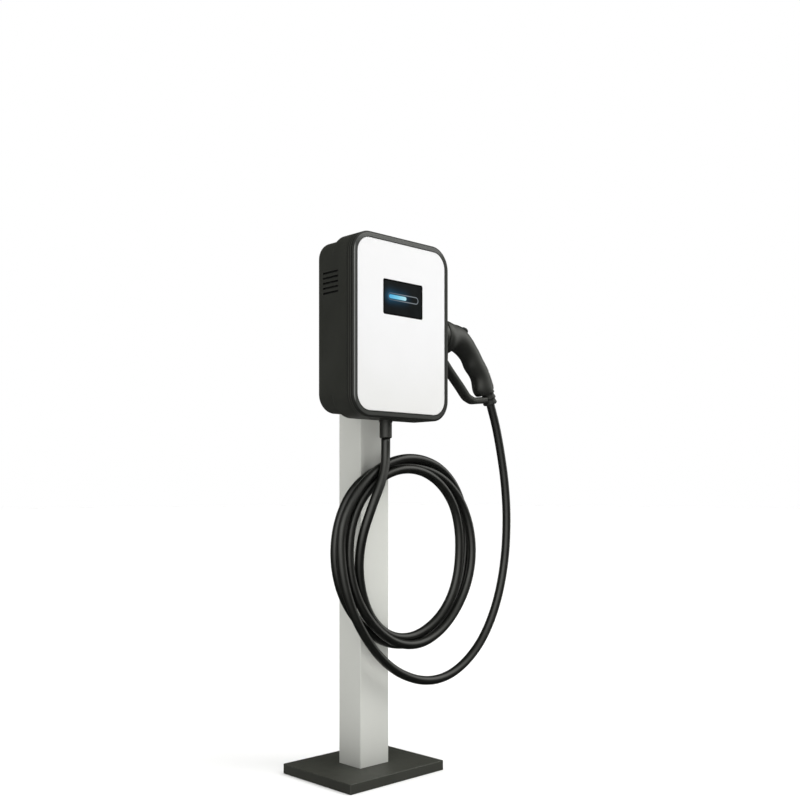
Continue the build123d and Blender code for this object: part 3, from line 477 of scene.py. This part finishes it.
def vent_lips(f):
    """1 on the shadowed lips of the slits in the left side, and 0 elsewhere."""
    rows_down = f.math("DIVIDE", f.math("SUBTRACT", VENT_TOP, f.axes["Z"]), VENT_PITCH)
    row = f.math("MINIMUM", f.math("MAXIMUM", f.math("ROUND", rows_down), 0.0), VENT_COUNT - 1)
    up = f.math("MULTIPLY", f.math("SUBTRACT", rows_down, row), VENT_PITCH)
    outside = f.pill(f.away("Y", VENT_Y), up, VENT_LENGTH, VENT_HEIGHT)
    on_side = f.between(f.axes["X"], HOUSING_LOW.x + 0.002, HOUSING_LOW.x + 0.003, 1.0, 0.0)
    return f.math("MULTIPLY", f.between(outside, VENT_LIP / 2, VENT_LIP, 1.0, 0.0), on_side)


def housing_shade(f, base):
    """Little light reaches the inside of the box, so it is drawn darker just under its skin."""
    depth = f.outline(HOUSING_LOW + SKIN, HOUSING_HIGH - SKIN, 0.0, 0.001)
    inside = f.between(depth, -0.0003, 0.0003, 1.0, 0.0)
    back = HOUSING_HIGH.y - BACK_SKIN
    ahead = f.between(f.axes["Y"], back, back + 0.0005, 1.0, 0.0)
    dark = f.math("MAXIMUM", f.math("MULTIPLY", inside, ahead), vent_lips(f))
    return f.mixed(dark, base, "#030303")


def frame_front(f):
    """Painted light on the left limb and the top, painted shade on the right limb, and thin black lines at
    both edges.
    """
    distance = f.outline(FRAME_LOW, FRAME_HIGH, 0.0, FRAME_CORNER)
    fine = f.noise(700.0, 2.0, 0.5, f.stretched((1, 1, 2.5)))
    # Painted light: the top of the front is drawn lighter.
    top = f.between(f.axes["Z"], FRAME_HIGH.z - 0.030, FRAME_HIGH.z - 0.010, 0.0, 1.0)
    tone = f.mixed(top, f.ramp(fine, (0.3, "#2b2c2a"), (0.7, "#373836")),
                   f.ramp(fine, (0.3, "#4b4c4a"), (0.7, "#5c5d5b")))
    # Painted shade: the right limb is drawn darker.
    right = f.between(f.axes["X"], FRAME_HIGH.x - 0.030, FRAME_HIGH.x - 0.010, 0.0, 1.0)
    # Painted highlight: a light strip down the left limb, strongest near its outer edge.
    left = f.between(f.axes["X"], FRAME_LOW.x + 0.0045, FRAME_LOW.x + 0.0085, 1.0, 0.0)
    left = f.math("MULTIPLY", left, f.between(distance, -0.0075, -0.0035, 0.25, 1.0))
    painted_light_and_shade = f.mixed(left, f.mixed(right, tone, "#222321"), "#7c7d7b")
    outer_line = f.between(distance, -0.0038, -0.0030, 0.0, 1.0)
    inner_line = f.between(distance, -0.0112, -0.0106, 1.0, 0.0)
    return f.mixed(f.math("MAXIMUM", outer_line, inner_line), painted_light_and_shade, "#0a0a09")


def frame_side(f):
    """Dark, with two thin lighter lines that run round it, painted highlights of fine ridges."""
    # The lighter lines are painted highlights.
    lines = [f.between(f.away("Y", FRAME_LOW.y + back), 0.0003, 0.0009, 0.8, 0.0)
             for back in FRAME_SIDE_HIGHLIGHTS]
    return f.mixed(f.math("MAXIMUM", *lines), "#1d1e1b", "#4c4d48")


def frame_shade(f, _):
    """The frame's front and sides have their own tones in place of the plain one, painted light and shade:
    the sides darker than the lit front.
    """
    on_front = f.between(f.axes["Y"], FRAME_LOW.y + 0.0006, FRAME_LOW.y + 0.0016, 1.0, 0.0)
    return f.mixed(on_front, frame_side(f), frame_front(f))


# ---- materials, by the CAD's slots ----------------------------------------
MATERIALS = {
    "post_paint": powder_coat("post_paint", "#c8c9c3", "#d0d1cb", "#dedfdb"),
    "base_paint": powder_coat("base_paint", "#2b2c27", "#32332e", "#63645e", (0.5, 0.62), 520.0, 0.0003),
    "hook_paint": powder_coat("hook_paint", "#20211f", "#2a2b29", "#5a5b58"),
    "galvanised_steel": plated_metal("galvanised_steel", "#8d9192", "#b4b8b9", (0.35, 0.5), 90.0),
    "zinc_steel": plated_metal("zinc_steel", "#a5a8a6", "#c6c9c8", (0.25, 0.4)),
    "aluminium_plate": plated_metal("aluminium_plate", "#aeb1b2", "#cfd1d2", (0.3, 0.45), 300.0),
    "housing_plastic": moulded_plastic("housing_plastic", "#252622", "#2c2d29", "#434441", (0.5, 0.62),
                                       shade=housing_shade),
    "frame_plastic": moulded_plastic("frame_plastic", "#303130", "#383937", "#4a4b49", (0.42, 0.54),
                                     shade=frame_shade),
    "panel_white": panel_paint("panel_white"),
    "screen_face": screen_glass("screen_face"),
    "module_dark": moulded_plastic("module_dark", "#1d1e1f", "#242526", "#3c3d3e", (0.45, 0.6)),
    "module_grey": moulded_plastic("module_grey", "#b7b9b8", "#c4c6c5", "#d8d9d8", (0.45, 0.6)),
    "board_green": circuit_board("board_green"),
    "brass_parts": plated_metal("brass_parts", "#b08a42", "#d2ad63", (0.25, 0.4)),
    "seal_rubber": soft_rubber("seal_rubber", "#141514", "#1d1e1d"),
    "filter_foam": open_foam("filter_foam"),
    "cable_rubber": soft_rubber("cable_rubber", "#0c0d0b", "#141512", (0.29, 0.38), 0.0002),
    "handle_plastic": moulded_plastic("handle_plastic", "#171815", "#1f201d", "#3a3b37", (0.44, 0.54), 1900.0,
                                      level=0.5),
    "nose_plastic": moulded_plastic("nose_plastic", "#0b0c0a", "#10110f", "#2e2f2d", (0.4, 0.5)),
    "latch_plastic": moulded_plastic("latch_plastic", "#191a18", "#20211f", "#3a3b38", (0.42, 0.55)),
}


def paint_frame():
    """Every carried-over CAD node takes the material of its own slot."""
    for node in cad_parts.values():
        for slot in node.material_slots:
            name = slot.material.name.split(".")[0]
            slot.material = MATERIALS[name]


paint_frame()

# ---- ribs on the plug's handle --------------------------------------------
# The handle's centre line in X and Z, from below the thumb to its cable end.
GRIP_LINE = [(0.2404, 0.9150), (0.2628, 0.8931), (0.2846, 0.8665), (0.2943, 0.8531),
             (0.3004, 0.8377), (0.3070, 0.8240)]
RIB_PITCH, RIB_HALF, RIB_HIGH, RIB_SUNK = 0.0036, 0.0013, 0.0007, 0.0002
# Degrees round the handle from its back, over which a rib runs, and over which its ends fade.
RIB_FROM, RIB_TO, RIB_STEP, RIB_FADE = -60, 110, 10, 20
SKIN_SEARCH = 0.06


def grip_places():
    """Evenly spaced points and directions down the handle."""
    line = [Vector((x, PLUG_Y, z)) for x, z in GRIP_LINE]
    places, carried = [], 0.0
    for low, high in zip(line, line[1:]):
        length = (high - low).length
        along = (high - low) / length
        while carried < length:
            places.append((low + along * carried, along))
            carried += RIB_PITCH
        carried -= length
    return places


def handle_skin(centre, direction):
    """Where the handle's outside lies from its centre line, and which way it faces there."""
    start = centre + direction * SKIN_SEARCH
    best = None
    for name in ("connector_shell_front", "connector_shell_rear"):
        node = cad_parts[name]
        turn = node.matrix_world.inverted()
        hit, place, normal, _ = node.ray_cast(turn @ start, turn.to_3x3() @ -direction)
        if hit:
            place = node.matrix_world @ place
            if best is None or (place - start).length < (best[0] - start).length:
                best = (place, (node.matrix_world.to_3x3() @ normal).normalized())
    return best


def rib_row(maker, along, skin, degree):
    """The four corners of a rib's section on the handle's skin, lower towards the rib's ends."""
    place, normal = skin
    height = RIB_HIGH * min(1.0, (degree - RIB_FROM + 1) / RIB_FADE, (RIB_TO + 1 - degree) / RIB_FADE)
    profile = ((-1.0, -RIB_SUNK), (-0.45, height), (0.45, height), (1.0, -RIB_SUNK))
    return [maker.verts.new(place + along * (RIB_HALF * a) + normal * h) for a, h in profile]


def make_grip_ribs():
    """Low ribs across the back of the handle, laid on its skin."""
    maker = bmesh.new()
    for centre, along in grip_places():
        back = Vector((-along.z, 0, along.x))
        rows = []
        for degree in range(RIB_FROM, RIB_TO + 1, RIB_STEP):
            turn = radians(degree)
            skin = handle_skin(centre, cos(turn) * back + sin(turn) * Vector((0, -1, 0)))
            if skin is not None:
                rows.append(rib_row(maker, along, skin, degree))
        for low, high in zip(rows, rows[1:]):
            for k in range(len(low) - 1):
                maker.faces.new((low[k], low[k + 1], high[k + 1], high[k]))
    piece = mesh_piece("grip_ribs", maker, MATERIALS["handle_plastic"])
    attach(piece, "connector")


make_grip_ribs()

# ---- the cable ------------------------------------------------------------
CABLE_SIDES = 28
FIRST_SIDE = (0.2, 1, 0.1)


def carried_sides(line):
    """Two side directions at each point, carried along the line without twist."""
    sides = []
    side = Vector(FIRST_SIDE)
    for index in range(len(line)):
        before = line[max(index - 1, 0)]
        after = line[min(index + 1, len(line) - 1)]
        along = (after - before).normalized()
        side = (side - along * side.dot(along)).normalized()
        sides.append((side, along.cross(side)))
    return sides


def tube_mesh(line, radius, count):
    """A closed tube along a line."""
    maker = bmesh.new()
    rings = []
    for point, (side, up) in zip(line, carried_sides(line)):
        ring = []
        for k in range(count):
            turn = 2 * pi * k / count
            ring.append(maker.verts.new(point + radius * (cos(turn) * side + sin(turn) * up)))
        rings.append(ring)
    for low, high in zip(rings, rings[1:]):
        for k in range(count):
            after = (k + 1) % count
            maker.faces.new((low[k], low[after], high[after], high[k]))
    maker.faces.new(list(reversed(rings[0])))
    maker.faces.new(rings[-1])
    return maker


def make_cable():
    """The whole cable in one piece, in place of the CAD's short lead, ring and tail."""
    cable = mesh_piece("charging_cable", tube_mesh(CABLE_LINE, CABLE_D / 2, CABLE_SIDES),
                       MATERIALS["cable_rubber"])
    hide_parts("cable_lead", "cable_coil", "cable_tail", "cable_end")
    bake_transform(cable)


make_cable()

# ---- studio ---------------------------------------------------------------
AMBIENT = 0.34
SHINE_TINT = (1, 1, 0.95)
# Where the shine comes from, the least cosine that it reaches, and its strength there.
SHINES = [((-0.74, -0.58, 0.34), 0.40, 3.4), ((0.56, -0.52, 0.64), 0.72, 3.4),
          ((0.96, -0.20, 0.20), 0.86, 1.6), ((-0.30, 0.94, 0.20), 0.86, 0.5)]
SHINE_FALL, SHINE_LEAST = 2.0, 0.04
FLOOR_HALF, FLOOR_DROP = 40, 0.0005


def make_floor():
    """A plain pale floor that just clears the base and doesn't show in its shine."""
    f = Finish("studio_floor")
    tone = f.ramp(f.noise(0.8, 2.0), (0.3, "#f4f4f3"), (0.7, "#f6f6f5"))
    f.surface(tone, f.between(f.noise(6.0), 0.3, 0.7, 0.7, 0.8), f.bump(f.noise(90.0), 0.05, 0.0003),
              Specular_IOR_Level=0.1)
    maker = bmesh.new()
    bmesh.ops.create_grid(maker, x_segments=4, y_segments=4, size=FLOOR_HALF)
    floor = mesh_piece("studio_floor", maker, f.material)
    floor.location.z = -FLOOR_DROP
    floor.visible_glossy = False


def make_lamp(name, kind, place, target, energy):
    """A lamp aimed at a target, which doesn't show in the object's shine."""
    data = bpy.data.lights.new(name, kind)
    data.energy = energy
    lamp = link(name, data)
    lamp.visible_glossy = False
    lamp.location = place
    lamp.rotation_euler = (Vector(target) - Vector(place)).to_track_quat("-Z", "Y").to_euler()
    return data


def soft_box(name, place, target, width, height, power):
    data = make_lamp(name, "AREA", place, target, power)
    data.shape = "RECTANGLE"
    data.size, data.size_y = width, height


def broad_sun(name, place, strength, spread):
    data = make_lamp(name, "SUN", place, (0, 0, 0), strength)
    data.angle = radians(spread)


def shine_strength(tree):
    """How bright the studio is in the object's shine: bright in a few directions, dark elsewhere."""
    def node(kind, operation, first, second):
        made = tree.nodes.new(kind)
        made.operation = operation
        tree.links.new(first, made.inputs[0])
        if isinstance(second, bpy.types.NodeSocket):
            tree.links.new(second, made.inputs[1])
        else:
            made.inputs[1].default_value = second
        return made.outputs["Value"]

    direction = tree.nodes.new("ShaderNodeTexCoord").outputs["Generated"]
    total = None
    for towards, least, peak in SHINES:
        facing = node("ShaderNodeVectorMath", "DOT_PRODUCT", direction, Vector(towards).normalized())
        reach = tree.nodes.new("ShaderNodeMapRange")
        reach.inputs["From Min"].default_value = least
        tree.links.new(facing, reach.inputs["Value"])
        fall = node("ShaderNodeMath", "POWER", reach.outputs["Result"], SHINE_FALL)
        glow = node("ShaderNodeMath", "MULTIPLY", fall, peak)
        total = node("ShaderNodeMath", "ADD", glow, SHINE_LEAST if total is None else total)
    return total


def make_world():
    """White behind the object, a dimmer white as the light round it, and a soft glow in its shine."""
    world = bpy.data.worlds.new("studio")
    bpy.context.scene.world = world
    world.use_nodes = True
    tree = world.node_tree
    ray = tree.nodes.new("ShaderNodeLightPath")

    def sky(tint):
        made = tree.nodes.new("ShaderNodeBackground")
        made.inputs["Color"].default_value = (*tint, 1)
        return made

    def seen_by(kind, shown, otherwise):
        mix = tree.nodes.new("ShaderNodeMixShader")
        tree.links.new(ray.outputs[kind], mix.inputs["Fac"])
        tree.links.new(otherwise, mix.inputs[1])
        tree.links.new(shown, mix.inputs[2])
        return mix.outputs[0]

    ambient, shine, backdrop = sky((1, 1, 1)), sky(SHINE_TINT), sky((1, 1, 1))
    ambient.inputs["Strength"].default_value = AMBIENT
    tree.links.new(shine_strength(tree), shine.inputs["Strength"])
    lit = seen_by("Is Glossy Ray", shine.outputs[0], ambient.outputs[0])
    whole = seen_by("Is Camera Ray", backdrop.outputs[0], lit)
    tree.links.new(whole, tree.nodes["World Output"].inputs["Surface"])


bpy.context.scene.view_settings.view_transform = "Standard"
make_floor()
make_world()
soft_box("key_box", place=(1.2, -2.4, 2.6), target=(0.05, 0, 0.7), width=1.4, height=2.0, power=42)
soft_box("side_box", place=(-2.4, -0.5, 1.5), target=(0, 0, 0.6), width=1.6, height=2.0, power=6)
broad_sun("ceiling", place=(0.3, -0.4, 3.0), strength=2.6, spread=70)
